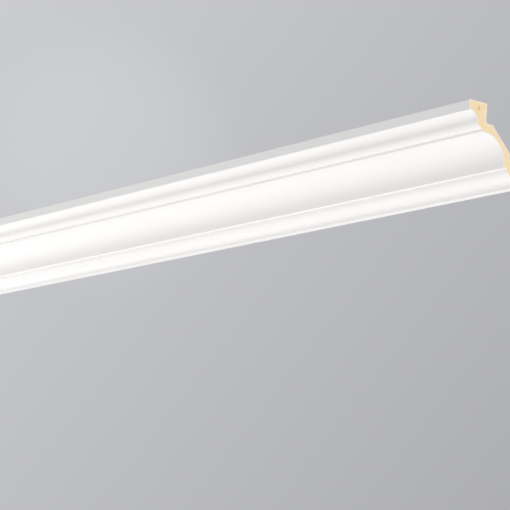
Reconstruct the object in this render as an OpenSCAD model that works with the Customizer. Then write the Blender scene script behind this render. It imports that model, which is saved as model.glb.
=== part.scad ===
// Crown moulding, one square-cut length.
// The section fills the corner between a wall and a ceiling: a cavetto and ovolo under the
// ceiling, one large cove, and a smaller ovolo and cavetto down to the wall. The back is hollowed,
// so that only two flat bands touch the building and cables can run behind.
// X runs along the length, +Y points to the wall, +Z to the ceiling.
// The origin is the middle of the band that meets the wall.

/* [Overall] */
// Length from cut end to cut end
length = 1160; // [200:10:2400]
// How far the moulding stands out along the ceiling
projection = 100; // [82:1:140]
// How far it comes down the wall
drop = 100; // [82:1:140]

/* [Upper members] */
// Height of the upright face under the ceiling
crown_face_h = 13.5; // [8:0.5:20]
// Narrow flat between the upright face and the cavetto
crown_step_w = 1; // [0.5:0.1:3]
// Radius of the hollow cavetto under the crown face
upper_cavetto_r = 12; // [8:0.5:14]
// Radius of the rounded ovolo below the cavetto
upper_ovolo_r = 9; // [5:0.5:11]
// Height of the small upright fillet below the ovolo
upper_fillet_h = 3.8; // [2:0.2:6]

/* [Main cove] */
// Least flat left beside the large cove, before it and after it
cove_flat = 7.2; // [3:0.2:10]

/* [Lower members] */
// Width of the ledge below the cove
ledge_w = 5.2; // [3:0.2:8]
// Height of the small upright fillet below the ledge
lower_fillet_h = 1; // [0.4:0.2:3]
// Radius of the rounded ovolo below the ledge
lower_ovolo_r = 9; // [5:0.5:11]
// Radius of the hollow cavetto above the foot
lower_cavetto_r = 9.5; // [6:0.5:11.5]
// Height of the foot's upright edge
foot_edge_h = 2; // [1:0.2:4]
// Width of the flat underside of the foot, from its edge to the wall
foot_w = 13.1; // [9:0.1:18]

/* [Back] */
// Width of the band glued to the ceiling
ceiling_band_w = 34; // [30:0.5:38]
// Height of the band glued to the wall
wall_band_h = 34; // [26:0.5:38]
// How deep the ceiling pad is before the back steps out to the brace
ceiling_pad_t = 26.2; // [22:0.2:29]
// How deep the wall pad is
wall_pad_t = 24.6; // [21:0.2:27]
// How far each pad's inner side leans under its band
pad_lean = 3.4; // [0:0.2:5]
// Thickness of the foam behind the middle of the large cove
brace_t = 8.6; // [5:0.2:13]
// Radius of the inner corner beside each pad
pad_fillet_r = 4.4; // [1:0.2:6]

/* [Hidden] */
$fn = 96;

// The section is drawn as [out, down]: out from the front edge towards the wall, and down
// from the ceiling.
upper_w = crown_step_w + upper_cavetto_r + upper_ovolo_r;
upper_h = crown_face_h + upper_cavetto_r + upper_ovolo_r + upper_fillet_h;
lower_w = ledge_w + lower_ovolo_r + lower_cavetto_r + foot_w;
lower_h = lower_fillet_h + lower_ovolo_r + lower_cavetto_r + foot_edge_h;

// The large cove takes what the other members leave, as one quarter circle.
cove_room_w = projection - upper_w - lower_w;
cove_room_h = drop - upper_h - lower_h;
cove_r = min(cove_room_w, cove_room_h) - cove_flat;

// Where each member starts or has its centre
upper_cavetto_at = [crown_step_w, crown_face_h + upper_cavetto_r];
upper_ovolo_at = [upper_w, upper_cavetto_at[1]];
soffit_at = [upper_w, upper_h];
cove_at = [projection - lower_w - cove_r, upper_h + cove_r];
ledge_at = [cove_at[0] + cove_r, drop - lower_h];
lower_ovolo_at = [ledge_at[0] + ledge_w + lower_ovolo_r, ledge_at[1] + lower_fillet_h];
lower_cavetto_at = [lower_ovolo_at[0], drop - foot_edge_h];
foot_at = [projection - foot_w, drop];

// The back. The brace is a 45 degree flat, brace_t behind the cove's middle.
brace_line = cove_at[0] - cove_at[1] + (cove_r + brace_t) * sqrt(2);
wall_back_out = projection - wall_pad_t;
ceiling_pad_corner = [ceiling_band_w - pad_lean, ceiling_pad_t];
wall_pad_corner = [wall_back_out, drop - wall_band_h + pad_lean];
brace_top = [ceiling_pad_t + brace_line, ceiling_pad_t];
brace_foot = [wall_back_out, wall_back_out - brace_line];
ceiling_band_edge = [ceiling_band_w, 0];
wall_band_edge = [projection, drop - wall_band_h];

// How far a cutting shape runs past the face it opens
over = 1;

function unit(v) = v / norm(v);

// Centre of a circle of radius r lying against both sides of an inner corner, and the two
// places where it touches them, in the order side a, centre, side b
function corner_arc(corner, a, b, r) =
    let (
        to_a = unit(a - corner),
        to_b = unit(b - corner),
        half_angle = acos(to_a * to_b) / 2,
        reach = r / tan(half_angle)
    )
    [
        corner + to_a * reach,
        corner + unit(to_a + to_b) * r / sin(half_angle),
        corner + to_b * reach
    ];

ceiling_pad_arc = corner_arc(ceiling_pad_corner, brace_top, ceiling_band_edge, pad_fillet_r);
wall_pad_arc = corner_arc(wall_pad_corner, wall_band_edge, brace_foot, pad_fillet_r);

// Straight outline, from which every round is cut. Where a hollow is cut the outline runs
// through its centre, and where a round nose is cut it keeps its full corner.
function outline() = [
    [0, 0],
    [0, crown_face_h],
    [crown_step_w, crown_face_h],
    upper_cavetto_at,
    [upper_cavetto_at[0] + upper_cavetto_r, upper_cavetto_at[1]],
    upper_ovolo_at + [-upper_ovolo_r, upper_ovolo_r],
    upper_ovolo_at + [0, upper_ovolo_r],
    soffit_at,
    [cove_at[0], soffit_at[1]],
    cove_at,
    [ledge_at[0], cove_at[1]],
    ledge_at,
    ledge_at + [ledge_w, 0],
    lower_ovolo_at + [-lower_ovolo_r, lower_ovolo_r],
    [lower_cavetto_at[0], lower_ovolo_at[1] + lower_ovolo_r],
    lower_cavetto_at,
    [foot_at[0], lower_cavetto_at[1]],
    foot_at,
    [projection, drop],
    wall_band_edge,
    each wall_pad_arc,
    brace_foot,
    brace_top,
    each ceiling_pad_arc,
    ceiling_band_edge
];

// What is cut away to round the nose whose centre is at
module nose_cut(at, r) {
    translate(at)
        difference() {
            translate([-r - over, 0]) square(r + over);
            circle(r);
        }
}

module section() {
    difference() {
        polygon(outline());
        nose_cut(upper_ovolo_at, upper_ovolo_r);
        nose_cut(lower_ovolo_at, lower_ovolo_r);
        translate(upper_cavetto_at) circle(upper_cavetto_r);
        translate(cove_at) circle(cove_r);
        translate(lower_cavetto_at) circle(lower_cavetto_r);
        translate(ceiling_pad_arc[1]) circle(pad_fillet_r);
        translate(wall_pad_arc[1]) circle(pad_fillet_r);
    }
}

// Turns [out, down] into the part's own Y and Z and runs it along X
module crown_moulding() {
    color("whitesmoke")
        rotate([90, 0, 90])
        linear_extrude(height = length, center = true)
        translate([-projection, drop - wall_band_h / 2])
        mirror([0, 1])
        section();
}

crown_moulding();
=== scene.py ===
import bpy
import bmesh
import cmath
import math
import numpy as np
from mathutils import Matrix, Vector
from mathutils.geometry import delaunay_2d_cdt


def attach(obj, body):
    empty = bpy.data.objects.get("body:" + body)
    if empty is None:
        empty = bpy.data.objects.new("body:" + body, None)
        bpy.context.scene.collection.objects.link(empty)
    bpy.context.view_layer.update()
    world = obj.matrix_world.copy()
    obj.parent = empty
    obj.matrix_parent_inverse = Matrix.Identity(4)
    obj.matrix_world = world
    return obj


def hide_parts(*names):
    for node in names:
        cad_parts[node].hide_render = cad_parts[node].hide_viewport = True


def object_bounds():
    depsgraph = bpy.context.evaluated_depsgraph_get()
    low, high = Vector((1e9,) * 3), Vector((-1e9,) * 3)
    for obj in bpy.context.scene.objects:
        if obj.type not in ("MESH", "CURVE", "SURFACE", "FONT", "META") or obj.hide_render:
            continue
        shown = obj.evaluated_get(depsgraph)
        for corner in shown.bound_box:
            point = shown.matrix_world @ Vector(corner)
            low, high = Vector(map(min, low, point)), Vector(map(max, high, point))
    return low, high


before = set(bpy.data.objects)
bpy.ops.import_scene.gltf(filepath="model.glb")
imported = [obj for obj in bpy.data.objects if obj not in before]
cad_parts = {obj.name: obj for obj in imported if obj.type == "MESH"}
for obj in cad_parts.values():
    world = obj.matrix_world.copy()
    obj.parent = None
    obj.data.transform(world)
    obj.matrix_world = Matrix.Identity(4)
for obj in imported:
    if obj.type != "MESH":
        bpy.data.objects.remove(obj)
cadLow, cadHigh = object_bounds()
scene = bpy.context.scene
mm = 0.001
print("frame loaded,", len(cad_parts), "node")


class Wire:  # a socket that takes part in sums
    def __init__(self, graph, socket):
        self.graph = graph
        self.socket = socket

    def __add__(self, other):
        return self.graph.maths("ADD", self, other)

    def __radd__(self, other):
        return self.graph.maths("ADD", other, self)

    def __sub__(self, other):
        return self.graph.maths("SUBTRACT", self, other)

    def __rsub__(self, other):
        return self.graph.maths("SUBTRACT", other, self)

    def __mul__(self, other):
        return self.graph.maths("MULTIPLY", self, other)

    def __rmul__(self, other):
        return self.graph.maths("MULTIPLY", other, self)

    def __truediv__(self, other):
        return self.graph.maths("DIVIDE", self, other)

    def __rtruediv__(self, other):
        return self.graph.maths("DIVIDE", other, self)

    def __gt__(self, other):
        return self.graph.maths("GREATER_THAN", self, other)

    def __lt__(self, other):
        return self.graph.maths("LESS_THAN", self, other)


class Graph:
    def __init__(self, tree):
        self.tree = tree

    def find(self, sockets, key):
        if isinstance(key, int):
            return sockets[key]
        return next(s for s in sockets if s.enabled and key in (s.name, s.identifier))

    # one way to add any node: its type, then its settings, then what its sockets take
    def node(self, kind, settings=None, sockets=None, output=None):
        made = self.tree.nodes.new(kind)
        for name, value in (settings or {}).items():
            setattr(made, name, value)
        for key, value in (sockets or {}).items():
            socket = self.find(made.inputs, key)
            if isinstance(value, Wire):
                self.tree.links.new(value.socket, socket)
            else:
                socket.default_value = value
        if not made.outputs:
            return None
        if output is None:
            return Wire(self, next(s for s in made.outputs if s.enabled))
        return Wire(self, self.find(made.outputs, output))

    def maths(self, operation, *values):
        return self.node("ShaderNodeMath", {"operation": operation}, dict(enumerate(values)))

    def vectors(self, operation, *values, output=None):
        return self.node("ShaderNodeVectorMath", {"operation": operation}, dict(enumerate(values)), output)

    def clamp(self, value):
        return self.node("ShaderNodeClamp", None, {"Value": value})

    # 0 at low, 1 at high, with soft ends
    def step(self, value, low, high):
        return self.node("ShaderNodeMapRange", {"interpolation_type": "SMOOTHSTEP"},
                         {"Value": value, "From Min": low, "From Max": high})

    def mixColour(self, factor, first, second, blend="MIX"):
        return self.node("ShaderNodeMix", {"data_type": "RGBA", "blend_type": blend},
                         {"Factor": factor, "A": first, "B": second})

    def split(self, vector):
        return [self.node("ShaderNodeSeparateXYZ", None, {0: vector}, axis) for axis in "XYZ"]

    def join(self, x, y, z):
        return self.node("ShaderNodeCombineXYZ", None, {"X": x, "Y": y, "Z": z})

    def noise(self, vector, scale, detail=2.0, roughness=0.5, output="Fac"):
        return self.node("ShaderNodeTexNoise", None,
                         {"Vector": vector, "Scale": scale, "Detail": detail, "Roughness": roughness}, output)

    # round cells: the distance from each one's middle, or a colour of its own
    def cells(self, vector, scale, output="Distance"):
        return self.node("ShaderNodeTexVoronoi", {"feature": "F1"},
                         {"Vector": vector, "Scale": scale}, output)

    def place(self):
        return self.node("ShaderNodeTexCoord", None, None, "Object")

    def attribute(self, name):
        return self.node("ShaderNodeAttribute", {"attribute_name": name}, None, "Fac")

    def toned(self, colour, tone):
        return self.mixColour(1.0, colour, self.join(tone, tone, tone), "MULTIPLY")

    def bump(self, height, distance, strength):
        return self.node("ShaderNodeBump", None,
                         {"Strength": strength, "Distance": distance, "Height": height})


def rgb(red, green, blue):
    return (red, green, blue, 1.0)


view = {
    "azimuth": 47.29,          # degrees round from straight at the wall
    "elevation": -10.41,       # the camera looks up
    "lens": 133.06,
    "sensor": 36.0,
    "cornerAhead": 2.3563,     # the near top corner, measured from the camera in metres
    "cornerRight": 0.26825,
    "cornerUp": 0.195,
}


def makeCamera():
    azimuth = math.radians(view["azimuth"])
    elevation = math.radians(view["elevation"])
    back = Vector((math.sin(azimuth) * math.cos(elevation), -math.cos(azimuth) * math.cos(elevation),
                   math.sin(elevation)))
    right = Vector((math.cos(azimuth), math.sin(azimuth), 0.0))
    up = back.cross(right)
    nearCorner = Vector((cadHigh.x, cadLow.y, cadHigh.z))
    data = bpy.data.cameras.new("camera")
    data.lens = view["lens"]
    data.sensor_width = view["sensor"]
    data.clip_start, data.clip_end = 0.05, 200.0
    camera = bpy.data.objects.new("camera", data)
    camera.location = (nearCorner + back * view["cornerAhead"] - right * view["cornerRight"]
                       - up * view["cornerUp"])
    camera.rotation_mode = "QUATERNION"
    camera.rotation_quaternion = (-back).to_track_quat("-Z", "Y")
    scene.collection.objects.link(camera)
    scene.camera = camera
    return right, up, back


viewRight, viewUp, viewBack = makeCamera()
print("camera placed")


section = {  # metres
    "crownFace": 13.5 * mm,
    "crownStep": 1.0 * mm,
    "upperCavetto": 12.0 * mm,
    "upperOvolo": 9.0 * mm,
    "upperFillet": 3.8 * mm,
    "coveFlat": 7.2 * mm,
    "ledge": 5.2 * mm,
    "lowerFillet": 1.0 * mm,
    "lowerOvolo": 9.0 * mm,
    "lowerCavetto": 9.5 * mm,
    "footEdge": 2.0 * mm,
    "foot": 13.1 * mm,
    "ceilingBand": 34.0 * mm,
    "wallBand": 34.0 * mm,
    "ceilingPad": 26.2 * mm,
    "wallPad": 24.6 * mm,
    "padLean": 3.4 * mm,
    "padFillet": 4.4 * mm,
    "brace": 8.6 * mm,
    "arris": 0.9 * mm,         # the small round that the mould leaves on every edge
    "crease": 0.6 * mm,
    "flatStep": 2.2 * mm,      # spacing of points on the flats
    "edgeStep": 0.35 * mm,     # first point in from each end of a flat
    "shortFlat": 2.5,          # flats under this many edgeSteps get no points of their own
    "arcStep": math.radians(4.0),
    "arrisSteps": 5,
    "gridStep": 0.5 * mm,      # spacing of points on the cut ends
    "gridGap": 0.4,            # gap between the grid and the rows along the rim, in gridSteps
    "skinRows": (0.12 * mm, 0.35 * mm, 0.8 * mm),   # rows of points in from the rim
    "rowSlack": 0.97,          # points nearer the rim than this share of their row's depth are dropped
    "same": 1e-6,              # points nearer than this are one
    "meshTolerance": 1e-7,
}


# Corners as (out + down * 1j, radius, is the stretch after it on the room side).
# Hollows and rounds are corners of their own radius.
def sectionCorners(s):
    projection = cadHigh.y - cadLow.y
    drop = cadHigh.z - cadLow.z
    upperOut = s["crownStep"] + s["upperCavetto"] + s["upperOvolo"]
    soffitDown = s["crownFace"] + s["upperCavetto"] + s["upperOvolo"] + s["upperFillet"]
    lowerWidth = s["ledge"] + s["lowerOvolo"] + s["lowerCavetto"] + s["foot"]
    ledgeDown = drop - s["lowerFillet"] - s["lowerOvolo"] - s["lowerCavetto"] - s["footEdge"]
    coveOut = projection - lowerWidth
    coveRadius = min(coveOut - upperOut, ledgeDown - soffitDown) - s["coveFlat"]
    cavettoOut = s["crownStep"] + s["upperCavetto"]
    ovoloDown = soffitDown - s["upperFillet"]
    ledgeOut = coveOut + s["ledge"]
    lowerDown = ledgeDown + s["lowerFillet"] + s["lowerOvolo"]
    footOut = projection - s["foot"]
    braceLine = (coveOut - coveRadius) - (soffitDown + coveRadius) + (coveRadius + s["brace"]) * math.sqrt(2)
    backOut = projection - s["wallPad"]
    arris, crease = s["arris"], s["crease"]
    return [
        (0, arris, True),
        (s["crownFace"] * 1j, arris, True),
        (cavettoOut + s["crownFace"] * 1j, s["upperCavetto"], True),
        (cavettoOut + ovoloDown * 1j, s["upperOvolo"], True),
        (upperOut + ovoloDown * 1j, 0, True),
        (upperOut + soffitDown * 1j, arris, True),
        (coveOut + soffitDown * 1j, coveRadius, True),
        (coveOut + ledgeDown * 1j, crease, True),
        (ledgeOut + ledgeDown * 1j, arris, True),
        (ledgeOut + lowerDown * 1j, s["lowerOvolo"], True),
        (footOut + lowerDown * 1j, s["lowerCavetto"], True),
        (footOut + drop * 1j, arris, True),
        (projection + drop * 1j, arris, False),
        (projection + (drop - s["wallBand"]) * 1j, arris, False),
        (backOut + (drop - s["wallBand"] + s["padLean"]) * 1j, s["padFillet"], False),
        (backOut + (backOut - braceLine) * 1j, crease, False),
        (s["ceilingPad"] + braceLine + s["ceilingPad"] * 1j, crease, False),
        (s["ceilingBand"] - s["padLean"] + s["ceilingPad"] * 1j, s["padFillet"], False),
        (s["ceilingBand"] + 0j, arris, False),
    ]


def roundCorner(before, corner, after, radius, s):
    if radius == 0:
        return [corner], 0
    toBefore = (before - corner) / abs(before - corner)
    toAfter = (after - corner) / abs(after - corner)
    turn = cmath.phase(toAfter / toBefore)
    half = abs(turn) / 2
    between = toBefore + toAfter
    centre = corner + between / abs(between) * radius / math.sin(half)
    start = corner + toBefore * radius / math.tan(half)
    sweep = math.copysign(math.pi - 2 * half, -turn)
    steps = s["arrisSteps"] if radius < mm else math.ceil(abs(sweep) / s["arcStep"])
    points = [centre + (start - centre) * cmath.exp(1j * sweep * i / steps) for i in range(steps + 1)]
    return points, turn


def flatPoints(start, end, s):
    span = abs(end - start)
    if span < s["shortFlat"] * s["edgeStep"]:
        return []
    inner = max(1, round((span - 2 * s["edgeStep"]) / s["flatStep"]))
    run = np.linspace(s["edgeStep"], span - s["edgeStep"], inner + 1)
    return [start + (end - start) * d / span for d in run]


# The whole outline: its points, 1 for the room side, and 1 on the rounded outer edges
def sectionOutline(s):
    corners = sectionCorners(s)
    count = len(corners)
    arcs = []
    for i, (corner, radius, _) in enumerate(corners):
        before = corners[i - 1][0]
        after = corners[(i + 1) % count][0]
        arcs.append(roundCorner(before, corner, after, radius, s))
    points, sides, wear = [], [], []
    for i, (_, radius, roomSide) in enumerate(corners):
        arc, turn = arcs[i]
        cameFrom = corners[i - 1][2]
        for k, point in enumerate(arc):
            if points and abs(point - points[-1]) < s["same"]:
                continue
            points.append(point)
            sides.append(1.0 if (roomSide if 2 * k >= len(arc) else cameFrom) else 0.0)
            wear.append(1.0 if 0 < radius < mm and turn > 0 else 0.0)
        for point in flatPoints(arc[-1], arcs[(i + 1) % count][0][0], s):
            points.append(point)
            sides.append(1.0 if roomSide else 0.0)
            wear.append(0.0)
    return np.array(points), np.array(sides), np.array(wear)


def distanceTo(outline, points):
    start, end = outline, np.roll(outline, -1)
    along = end - start
    best = np.full(len(points), np.inf)
    for a, d in zip(start, along):
        t = np.clip(((points - a) * np.conj(d)).real / abs(d) ** 2, 0, 1)
        best = np.minimum(best, abs(points - (a + t * d)))
    return best


def isInside(outline, points):
    inside = np.zeros(len(points), bool)
    for a, b in zip(outline, np.roll(outline, -1)):
        if a.imag == b.imag:
            continue
        crosses = (a.imag > points.imag) != (b.imag > points.imag)
        at = a.real + (points.imag - a.imag) * (b.real - a.real) / (b.imag - a.imag)
        inside ^= crosses & (points.real < at)
    return inside


# Flat sheet of the section, finely meshed. It is drawn as seen from the +X end, with x as the
# distance out from the wall and y as the distance down, both from the frame's origin.
def makeSectionSheet(s):
    outline, sides, wear = sectionOutline(s)
    middle = (np.roll(outline, -1) + outline) / 2
    along = np.roll(outline, -1) - outline
    rows = []
    for depth in s["skinRows"]:
        for sign in (1j, -1j):
            row = middle + sign * along / abs(along) * depth
            row = row[isInside(outline, row)]
            rows.append(row[distanceTo(outline, row) > s["rowSlack"] * depth])
    step = s["gridStep"]
    across = np.arange(outline.real.min(), outline.real.max(), step)
    down = np.arange(outline.imag.min(), outline.imag.max(), step * math.sqrt(3) / 2)
    grid = np.array([x + step / 2 * (k % 2) + y * 1j for k, y in enumerate(down) for x in across])
    grid = grid[isInside(outline, grid)]
    grid = grid[distanceTo(outline, grid) > s["skinRows"][-1] + s["gridGap"] * step]
    everything = np.concatenate([outline, *rows, grid])
    rim = [(i, (i + 1) % len(outline)) for i in range(len(outline))]
    flatVectors = [Vector((p.real, p.imag)) for p in everything]
    made = delaunay_2d_cdt(flatVectors, rim, [], 0, s["meshTolerance"], True)
    flat = np.array([v.x + v.y * 1j for v in made[0]])
    triangles = np.array(made[2])
    triangles = triangles[isInside(outline, flat[triangles].mean(axis=1))]
    depth = distanceTo(outline, flat)
    depth[depth < s["same"]] = 0.0
    nearest = np.array([np.argmin(abs(outline - p)) for p in flat])
    fromWall = -cadLow.y - flat.real
    below = flat.imag - cadHigh.z
    mesh = bpy.data.meshes.new("sectionSheet")
    mesh.from_pydata([(x, y, 0.0) for x, y in zip(fromWall, below)], [], triangles.tolist())
    for name, values in (("skinDepth", depth), ("roomSide", sides[nearest]), ("edgeWear", wear[nearest])):
        layer = mesh.attributes.new(name, "FLOAT", "POINT")
        layer.data.foreach_set("value", values.astype(np.float32))
    print("section drawn,", len(outline), "points round it,", len(triangles), "faces")
    return mesh


primer = {
    "colour": rgb(0.886, 0.870, 0.845),
    "thinColour": rgb(0.860, 0.838, 0.790),   # where the coat is thin over an edge
    "thinShare": 0.55,
    "thinScale": 60.0,         # thin patches along an edge, per metre
    "thinBetween": (0.35, 0.75),
    "tone": 0.985,
    "cloudScale": 9.0,
    "cloudTone": 0.016,
    "driftStretch": (1.5, 40.0, 40.0),        # faint streaks along the length
    "driftTone": 0.010,
    "speckScale": 900.0,
    "speckTone": 0.004,
    "roughness": 0.60,
    "roughnessSpread": 0.10,
    "thinRoughness": 0.08,
    "specular": 0.18,
    "peelScale": 420.0,        # orange peel of the sprayed coat, per metre
    "peelRoughness": 0.4,
    "peelHeight": 0.045 * mm,
    "swellScale": 70.0,        # the broader swell under the peel
    "swellShare": 2.0,
    "bumpStrength": 0.8,
}

foam = {
    "colour": rgb(0.890, 0.720, 0.465),
    "deepColour": rgb(0.810, 0.610, 0.350),
    "skinColour": rgb(0.900, 0.830, 0.690),
    # painted shade in the pits and the blowhole of the sawn end
    "voidShadeColour": rgb(0.620, 0.430, 0.240),
    "deepShare": 0.55,
    "deepBetween": (0.25, 0.95),
    "skinShare": 0.75,
    "voidShadeShare": 0.42,
    "skinWidth": 1.6 * mm,
    "paintWidth": 0.35 * mm,
    "paintEdge": 0.3,          # softness of the paint line, as a share of its width
    "unevenScale": 500.0,
    "paintUneven": 0.15,
    "patchScale": 160.0,
    "patchShade": 0.30,
    "broadScale": 35.0,
    "broadShade": 0.35,
    "cellScale": 1700.0,
    "cellShade": 0.45,
    "cellHeight": 0.08 * mm,
    "patchHeight": 0.8,
    "roughness": 0.88,
    "roughnessSpread": 0.1,
    "paintGloss": 0.3,         # how much less rough the paint line is
    "specular": 0.25,
    "bumpStrength": 0.7,
}

backCoat = {
    "coatColour": rgb(0.845, 0.835, 0.805),
    "foamColour": rgb(0.800, 0.690, 0.500),
    # painted shade in the pinholes of the back
    "pitShadeColour": rgb(0.45, 0.34, 0.20),
    "drawn": (0.22, 1.0, 1.0),  # patches are drawn out along the length
    "coverScale": 26.0,
    "coverRoughness": 0.62,
    "bareBetween": (0.50, 0.68),
    "bareShare": 0.65,
    "fineScale": 320.0,
    "fineCover": 0.25,
    "streakStretch": (4.0, 260.0, 260.0),
    "tone": 0.95,
    "toneSpread": 0.05,
    "roughness": 0.68,
    "bareRoughness": 0.15,
    "roughnessSpread": 0.12,
    "specular": 0.35,
    "pitScale": 210.0,
    "pitBetween": (0.08, 0.20),
    "pitPatchScale": 45.0,
    "pitPatchBetween": (0.50, 0.60),
    "pitShare": 0.55,
    "pitHeight": 0.25 * mm,
    "streakHeight": 0.25,
    "fineHeight": 0.2,
    "bumpStrength": 0.8,
}


def newMaterial(name):
    material = bpy.data.materials.new(name)
    material.use_nodes = True
    material.node_tree.nodes.clear()
    return material, Graph(material.node_tree)


def finishMaterial(g, colour, roughness, bump, specular=0.5):
    surface = g.node("ShaderNodeBsdfPrincipled", None,
                     {"Base Color": colour, "Roughness": roughness, "Normal": bump,
                      "Specular IOR Level": specular})
    g.node("ShaderNodeOutputMaterial", None, {"Surface": surface})


def makePrimer(p):
    material, g = newMaterial("whitePrimer")
    where = g.place()
    cloud = g.noise(where, p["cloudScale"], detail=3.0)
    drift = g.noise(g.vectors("MULTIPLY", where, p["driftStretch"]), 1.0)
    speck = g.noise(where, p["speckScale"])
    thin = g.attribute("edgeWear") * g.step(g.noise(where, p["thinScale"], detail=3.0), *p["thinBetween"])
    colour = g.mixColour(thin * p["thinShare"], p["colour"], p["thinColour"])
    tone = p["tone"] + cloud * p["cloudTone"] + drift * p["driftTone"] + speck * p["speckTone"]
    colour = g.toned(colour, tone)
    spread = p["roughnessSpread"]
    roughness = p["roughness"] + (cloud - 0.5) * spread + (speck - 0.5) * spread + thin * p["thinRoughness"]
    peel = g.noise(where, p["peelScale"], roughness=p["peelRoughness"])
    swell = g.noise(where, p["swellScale"]) * p["swellShare"]
    bump = g.bump(peel + swell, p["peelHeight"], p["bumpStrength"])
    finishMaterial(g, colour, roughness, bump, p["specular"])
    return material


def makeFoam(p, paintColour):
    material, g = newMaterial("cutFoam")
    where = g.place()
    depth = g.attribute("skinDepth")
    # painted shade in the pits and the blowhole, from the mask the sawn ends store
    holeShading = g.clamp(g.attribute("paintedHoleShade"))
    cells = g.cells(where, p["cellScale"])
    patch = g.noise(where, p["patchScale"], detail=4.0, roughness=0.6)
    broad = g.noise(where, p["broadScale"])
    shade = p["patchShade"] * patch + p["cellShade"] * cells + p["broadShade"] * broad
    deep = g.step(shade, *p["deepBetween"]) * p["deepShare"]
    colour = g.mixColour(deep, p["colour"], p["deepColour"])
    uneven = (g.noise(where, p["unevenScale"]) - 0.5) * p["skinWidth"]
    skin = 1.0 - g.step(depth + uneven, p["paintWidth"], p["skinWidth"] + p["paintWidth"])
    colour = g.mixColour(skin * p["skinShare"], colour, p["skinColour"])
    paintFrom = p["paintWidth"] * (1 - p["paintEdge"])
    paintTo = p["paintWidth"] * (1 + p["paintEdge"])
    paint = 1.0 - g.step(depth + uneven * p["paintUneven"], paintFrom, paintTo)
    colour = g.mixColour(paint, colour, paintColour)
    # painted shade: the pits and the blowhole are darkened in colour
    colour = g.mixColour(holeShading * p["voidShadeShare"], colour, p["voidShadeColour"])
    roughness = p["roughness"] - paint * p["paintGloss"] + (patch - 0.5) * p["roughnessSpread"]
    bump = g.bump(cells + patch * p["patchHeight"], p["cellHeight"], p["bumpStrength"])
    finishMaterial(g, colour, roughness, bump, p["specular"])
    return material


def makeBackCoat(p):
    material, g = newMaterial("thinBackCoat")
    where = g.place()
    drawn = g.vectors("MULTIPLY", where, p["drawn"])
    patches = g.noise(drawn, p["coverScale"], detail=5.0, roughness=p["coverRoughness"])
    fine = g.noise(where, p["fineScale"], detail=3.0, roughness=0.6)
    bare = g.step(patches + (fine - 0.5) * p["fineCover"], *p["bareBetween"])
    colour = g.mixColour(bare * p["bareShare"], p["coatColour"], p["foamColour"])
    bubbles = g.cells(where, p["pitScale"])
    pitted = g.step(g.noise(where, p["pitPatchScale"]), *p["pitPatchBetween"])   # pits keep to some places
    pits = (1.0 - g.step(bubbles, *p["pitBetween"])) * pitted
    # painted shade: the pinholes, sunk only by the bump, are darkened in colour
    colour = g.mixColour(pits * p["pitShare"], colour, p["pitShadeColour"])
    streak = g.noise(g.vectors("MULTIPLY", where, p["streakStretch"]), 1.0)
    colour = g.toned(colour, p["tone"] + fine * p["toneSpread"] + streak * p["toneSpread"])
    roughness = p["roughness"] + bare * p["bareRoughness"] + (fine - 0.5) * p["roughnessSpread"]
    height = streak * p["streakHeight"] + fine * p["fineHeight"] - pits
    bump = g.bump(height, p["pitHeight"], p["bumpStrength"])
    finishMaterial(g, colour, roughness, bump, p["specular"])
    return material


run = {
    "Length": cadHigh.x - cadLow.x,
    "Rings": 97,
    "Wave Depth": 0.08 * mm,   # how far the moulded face wanders from true
    "Wave Size": 9.0,          # waves per metre
    "Cut Wander": 0.15 * mm,   # unevenness of the sawn edge
    "Cell Size": 1.3 * mm,
    "Cell Depth": 0.16 * mm,
    "Saw Spacing": 2.4 * mm,
    "Saw Depth": 0.07 * mm,
    "Pit Spacing": 7.0 * mm,
    "Pit Radius": 0.9 * mm,
    "Pit Depth": 0.7 * mm,
    "Void Out": 17.4 * mm,     # the blowhole in the near end's upper pad, from the front edge
    "Void Down": 7.6 * mm,
    "Void Width": 5.4 * mm,
    "Void Height": 9.0 * mm,
    "Void Depth": 1.5 * mm,
    "Seed": 4,
}

sawnEnds = {
    "fadeIn": (0.12 * mm, 0.9 * mm),    # how far in from the rim the relief begins and is full
    "cellDetail": 2.0,
    "cellRoughness": 0.65,
    "bladeOut": 0.55,          # centre of the blade's sweep, out from the wall in metres
    "bladeUp": 0.10,           # above the origin at the near end, below it at the far end
    "wobbleScale": 40.0,
    "wobble": 6.0,             # how far the saw lines stray, in radians
    "pitShare": 0.62,          # places that draw less than this have no pit
    "pitLeast": 0.55,          # the smallest pit, as a share of the largest
    "pitEdge": (0.35, 1.0),
    # painted shade in the small pits, as a share of the blowhole's
    "smallPitShade": 0.7,
    "raggedScale": 700.0,
    "ragged": 0.5,
    "voidEdge": (0.45, 1.15),
}

joins = {
    "weld": 0.01 * mm,
    "atEnd": 0.005 * mm,       # nearer the end than this is on the sawn face
    "sharpReach": 0.4 * mm,    # edges this near the end stay sharp where they meet the rim
    "wallFade": 10 * mm,       # the wander dies out over this towards the wall and the ceiling
    "nickScale": 900.0,
}


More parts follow.
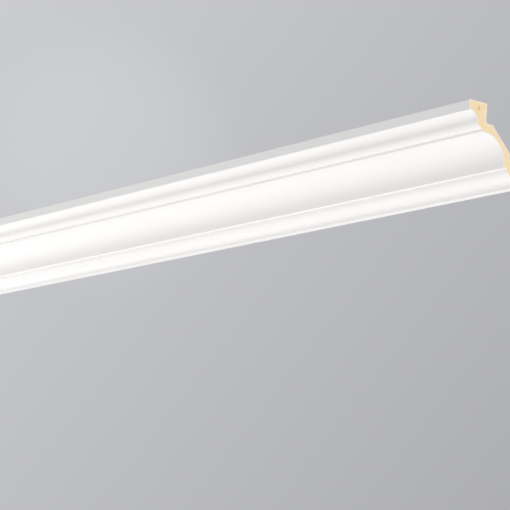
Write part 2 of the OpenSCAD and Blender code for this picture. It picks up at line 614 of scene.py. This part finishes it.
# Sweeps the rim of the sheet along a line, closes both ends with the sheet itself and gives
# the sawn ends their cells, saw lines, pits and blowhole.
def makeRunTree(face, back, cut):
    tree = bpy.data.node_groups.new("mouldingRun", "GeometryNodeTree")
    tree.interface.new_socket(name="Geometry", in_out="INPUT", socket_type="NodeSocketGeometry")
    tree.interface.new_socket(name="Geometry", in_out="OUTPUT", socket_type="NodeSocketGeometry")
    for name, value in run.items():
        kind = "NodeSocketInt" if isinstance(value, int) else "NodeSocketFloat"
        tree.interface.new_socket(name=name, in_out="INPUT", socket_type=kind)
    g = Graph(tree)
    inputs = tree.nodes.new("NodeGroupInput")
    given = {s.name: Wire(g, s) for s in inputs.outputs if s.name}
    sheet = given["Geometry"]
    half = given["Length"] / 2

    def named(name):
        return g.node("GeometryNodeInputNamedAttribute", {"data_type": "FLOAT"}, {"Name": name}, "Attribute")

    def store(geometry, name, value, domain):
        return g.node("GeometryNodeStoreNamedAttribute", {"data_type": "FLOAT", "domain": domain},
                      {"Geometry": geometry, "Name": name, "Value": value})

    # the long surfaces
    neighbours = g.node("GeometryNodeInputMeshEdgeNeighbors")
    onRim = g.node("FunctionNodeCompare", {"data_type": "INT", "operation": "EQUAL"},
                   {"A": neighbours, "B": 1})
    rim = g.node("GeometryNodeMeshToCurve", None, {"Mesh": sheet, "Selection": onRim})
    line = g.node("GeometryNodeCurvePrimitiveLine", None,
                  {"Start": g.join(half * -1.0, 0.0, 0.0), "End": g.join(half, 0.0, 0.0)})
    path = g.node("GeometryNodeResampleCurve", None, {"Curve": line, "Count": given["Rings"]})
    sides = g.node("GeometryNodeCurveToMesh", None, {"Curve": path, "Profile Curve": rim})

    # relief of the sawn ends, in the sheet's own plane
    position = g.node("GeometryNodeInputPosition")
    fromWall, below, _ = g.split(position)
    mask = g.step(named("skinDepth"), *sawnEnds["fadeIn"])

    def sawLines(end, spot):
        centre = (sawnEnds["bladeOut"], -sawnEnds["bladeUp"] * end, 0.0)
        arc = g.vectors("LENGTH", g.vectors("SUBTRACT", position, centre), output="Value")
        wobble = g.noise(spot, sawnEnds["wobbleScale"]) * sawnEnds["wobble"]
        wave = g.maths("SINE", arc / given["Saw Spacing"] * math.tau + wobble)
        return (wave + 1.0) * 0.5 * given["Saw Depth"]

    def smallPits(spot):
        scale = 1.0 / given["Pit Spacing"]
        near = g.cells(spot, scale) * given["Pit Spacing"]
        pick = g.split(g.cells(spot, scale, "Color"))[0]
        least = sawnEnds["pitLeast"]
        radius = given["Pit Radius"] * (least + pick * (1.0 - least))
        return (1.0 - g.step(near / radius, *sawnEnds["pitEdge"])) * (pick > sawnEnds["pitShare"])

    def blowhole(spot):
        across = (fromWall + (given["Void Out"] + cadLow.y)) / (given["Void Width"] * 0.5)
        downwards = (below + cadHigh.z - given["Void Down"]) / (given["Void Height"] * 0.5)
        ragged = (g.noise(spot, sawnEnds["raggedScale"]) - 0.5) * sawnEnds["ragged"]
        ring = g.maths("SQRT", across * across + downwards * downwards) + ragged
        return 1.0 - g.step(ring, *sawnEnds["voidEdge"])

    # how far each point is sunk, and how much painted shade it gets for lying in a pit or the blowhole
    def endRelief(end, voidShadeShare):
        spot = g.join(fromWall, below, given["Seed"] + float(end))
        cells = g.noise(spot, 1.0 / given["Cell Size"], sawnEnds["cellDetail"], sawnEnds["cellRoughness"])
        cells = cells * given["Cell Depth"]
        pits = smallPits(spot)
        hole = blowhole(spot) * voidShadeShare
        relief = mask * (cells + sawLines(end, spot) + pits * given["Pit Depth"]) + hole * given["Void Depth"]
        return relief, g.maths("MAXIMUM", pits * mask * sawnEnds["smallPitShade"], hole)

    def sawnEnd(end, voidShadeShare):
        relief, holeShade = endRelief(end, voidShadeShare)
        # the mask of painted shade in the pits and the blowhole
        cap = store(sheet, "paintedHoleShade", holeShade, "POINT")
        cap = store(cap, "sawn", 1.0, "FACE")
        reach = (half - relief) * float(end)
        place = g.join(reach, fromWall * -1.0, below * -1.0)
        return g.node("GeometryNodeSetPosition", None, {"Geometry": cap, "Position": place})

    nearEnd = sawnEnd(1, 1.0)
    farEnd = sawnEnd(-1, 0.0)
    joined = tree.nodes.new("GeometryNodeJoinGeometry")
    for part in (farEnd, nearEnd, sides):
        tree.links.new(part.socket, joined.inputs[0])
    whole = g.node("GeometryNodeMergeByDistance", None,
                   {"Geometry": Wire(g, joined.outputs[0]), "Distance": joins["weld"]})

    # Small wander of the long face and of the sawn edge, the same for whatever meets there. It
    # only ever goes inwards, and dies out towards the wall and the ceiling.
    along, acrossWall, height = g.split(position)
    fromMiddle = g.maths("ABSOLUTE", along)
    onRimPoint = named("skinDepth") < joins["weld"]
    atRim = (fromMiddle > (half - joins["atEnd"])) * onRimPoint
    waves = g.noise(position, given["Wave Size"], output="Color")
    _, waveY, waveZ = g.split(waves)
    sway = given["Wave Depth"] * named("roomSide")
    swayY = waveY * sway * g.step(cadHigh.y - acrossWall, 0.0, joins["wallFade"])
    swayZ = waveZ * sway * g.step(cadHigh.z - height, 0.0, joins["wallFade"])
    nick = g.noise(position, joins["nickScale"]) * given["Cut Wander"] * atRim
    offset = g.join(nick * (0.0 - g.maths("SIGN", along)), swayY, swayZ)
    whole = g.node("GeometryNodeSetPosition", None, {"Geometry": whole, "Offset": offset})
    whole = g.node("GeometryNodeSetShadeSmooth", {"domain": "FACE"},
                   {"Geometry": whole, "Shade Smooth": True})
    nearRim = (fromMiddle > (half - joins["sharpReach"])) * onRimPoint
    whole = g.node("GeometryNodeSetShadeSmooth", {"domain": "EDGE"},
                   {"Geometry": whole, "Selection": nearRim, "Shade Smooth": False})

    whole = g.node("GeometryNodeRealizeInstances", None, {"Geometry": whole})
    for chosen, material in ((True, back), (named("roomSide") > 0.5, face), (named("sawn") > 0.5, cut)):
        whole = g.node("GeometryNodeSetMaterial", None,
                       {"Geometry": whole, "Selection": chosen, "Material": material})
    tree.links.new(whole.socket, tree.nodes.new("NodeGroupOutput").inputs[0])
    return tree


def makeMoulding():
    sheet = makeSectionSheet(section)
    host = bpy.data.objects.new("sheetHost", sheet)
    scene.collection.objects.link(host)
    tree = makeRunTree(makePrimer(primer), makeBackCoat(backCoat), makeFoam(foam, primer["colour"]))
    modifier = host.modifiers.new("run", "NODES")
    modifier.node_group = tree
    for item in tree.interface.items_tree:
        if item.in_out == "INPUT" and item.name in run:
            modifier[item.identifier] = run[item.name]
    graph = bpy.context.evaluated_depsgraph_get()
    mesh = bpy.data.meshes.new_from_object(host.evaluated_get(graph), preserve_all_data_layers=True,
                                           depsgraph=graph)
    host.modifiers.remove(modifier)
    bpy.data.objects.remove(host)
    work = bmesh.new()
    work.from_mesh(mesh)
    bmesh.ops.recalc_face_normals(work, faces=work.faces)
    openEdges = sum(1 for e in work.edges if not e.is_manifold)
    if work.calc_volume(signed=True) < 0:
        bmesh.ops.reverse_faces(work, faces=work.faces)
    print("moulding swept,", len(work.faces), "faces,", openEdges, "open edges, volume",
          round(work.calc_volume() * 1e6, 1), "cm3")
    work.to_mesh(mesh)
    work.free()
    for slot in reversed(range(len(mesh.materials))):
        if mesh.materials[slot] is None:
            mesh.materials.pop(index=slot)
    mesh.name = "mouldingLength"
    piece = bpy.data.objects.new("mouldingLength", mesh)
    scene.collection.objects.link(piece)
    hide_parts("crown_moulding")
    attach(piece, "root")
    return piece


moulding = makeMoulding()
print("materials:", [m.name for m in moulding.data.materials])


studio = {
    "floorDrop": 4.9,          # how far the floor lies below the moulding
    "floorRadius": 60.0,
    "floorColour": rgb(0.64, 0.64, 0.64),
    "floorTone": 0.97,
    "floorPatches": 0.8,       # soft patches, per metre
    "floorPatchTone": 0.05,
    "floorGrain": 60.0,
    "floorGrainHeight": 0.001,
    "floorBump": 0.2,
    "floorRoughness": 0.75,
    "floorRoughnessSpread": 0.1,
    "floorRoughnessScale": 3.0,
    "backdropTone": 0.515,     # tone straight ahead of the camera
    "backdropTilt": (-0.378, 0.30),   # how fast it changes to the right and upwards
    "backdropTint": (0.992, 1.0, 1.045),
    "darkest": 0.42,
    "lightest": 0.64,
    "behindCamera": 0.10,      # how much dimmer the backdrop is behind the camera
    "behindBetween": (-0.2, 0.8),     # where it dims, from beside the camera to behind it
    "glowPlace": (-0.080, 0.052),     # a soft glow on the backdrop, right and up from straight ahead
    "glowRadius": math.radians(4.6),
    "glow": 0.045,
}

areaLights = {  # name: place, what it faces, width and height, watts
    "underLight": ((0.20, -0.80, -1.95), (0.1, -0.05, 0.03), (2.2, 0.9), 20.7),
    "farLight": ((-2.5, -0.85, -0.7), (-0.3, -0.05, 0.03), (1.1, 1.0), 24.5),
    "endLight": ((2.3, 0.28, -0.25), (0.5, -0.05, 0.03), (1.0, 1.0), 17.5),
}

skyLight = {  # broad light from above and behind, for the floor, the back and the top
    "from": (-0.25, 0.75, 1.0),
    "strength": 1.3,
    "spread": math.radians(35.0),
}


def makeFloor():
    mesh = bpy.data.meshes.new("floor")
    work = bmesh.new()
    bmesh.ops.create_circle(work, cap_ends=True, segments=96, radius=studio["floorRadius"])
    bmesh.ops.translate(work, verts=work.verts, vec=(0.0, 0.0, cadLow.z - studio["floorDrop"]))
    work.to_mesh(mesh)
    work.free()
    floor = bpy.data.objects.new("floor", mesh)
    scene.collection.objects.link(floor)
    material, g = newMaterial("paleFloor")
    where = g.place()
    patches = g.noise(where, studio["floorPatches"], detail=3.0)
    colour = g.toned(studio["floorColour"], studio["floorTone"] + patches * studio["floorPatchTone"])
    dull = (g.noise(where, studio["floorRoughnessScale"]) - 0.5) * studio["floorRoughnessSpread"]
    grain = g.noise(where, studio["floorGrain"])
    bump = g.bump(grain, studio["floorGrainHeight"], studio["floorBump"])
    finishMaterial(g, colour, studio["floorRoughness"] + dull, bump)
    mesh.materials.append(material)


def makeBackdrop():
    world = bpy.data.worlds.new("studio")
    scene.world = world
    world.use_nodes = True
    world.node_tree.nodes.clear()
    g = Graph(world.node_tree)
    direction = g.node("ShaderNodeTexCoord", None, None, "Generated")
    slope = viewRight * studio["backdropTilt"][0] + viewUp * studio["backdropTilt"][1]
    lean = g.vectors("DOT_PRODUCT", direction, tuple(slope), output="Value")
    tone = g.node("ShaderNodeClamp", None, {"Value": studio["backdropTone"] + lean,
                                            "Min": studio["darkest"], "Max": studio["lightest"]})
    backwards = g.vectors("DOT_PRODUCT", direction, tuple(viewBack), output="Value")
    behind = g.step(backwards, *studio["behindBetween"])
    tone = tone * (1.0 - behind * studio["behindCamera"])
    glowRight, glowUp = studio["glowPlace"]
    glowAxis = (viewRight * glowRight + viewUp * glowUp - viewBack).normalized()
    nearness = g.vectors("DOT_PRODUCT", direction, tuple(glowAxis), output="Value")
    tone = tone + g.step(nearness, math.cos(studio["glowRadius"]), 1.0) * studio["glow"]
    red, green, blue = studio["backdropTint"]
    colour = g.join(tone * red, tone * green, tone * blue)
    background = g.node("ShaderNodeBackground", None, {"Color": colour})
    g.node("ShaderNodeOutputWorld", None, {"Surface": background})


def placeLight(data, name, place, target):
    light = bpy.data.objects.new(name, data)
    light.location = place
    light.rotation_mode = "QUATERNION"
    light.rotation_quaternion = (Vector(target) - Vector(place)).to_track_quat("-Z", "Y")
    light.visible_camera = False
    scene.collection.objects.link(light)


def makeLights():
    for name, (place, target, size, watts) in areaLights.items():
        data = bpy.data.lights.new(name, "AREA")
        data.shape = "RECTANGLE"
        data.size, data.size_y = size
        data.energy = watts
        placeLight(data, name, place, target)
    sky = bpy.data.lights.new("skyLight", "SUN")
    sky.energy = skyLight["strength"]
    sky.angle = skyLight["spread"]
    placeLight(sky, "skyLight", skyLight["from"], (0.0, 0.0, 0.0))


makeFloor()
makeBackdrop()
makeLights()
scene.view_settings.view_transform = "Standard"
print("studio lit")
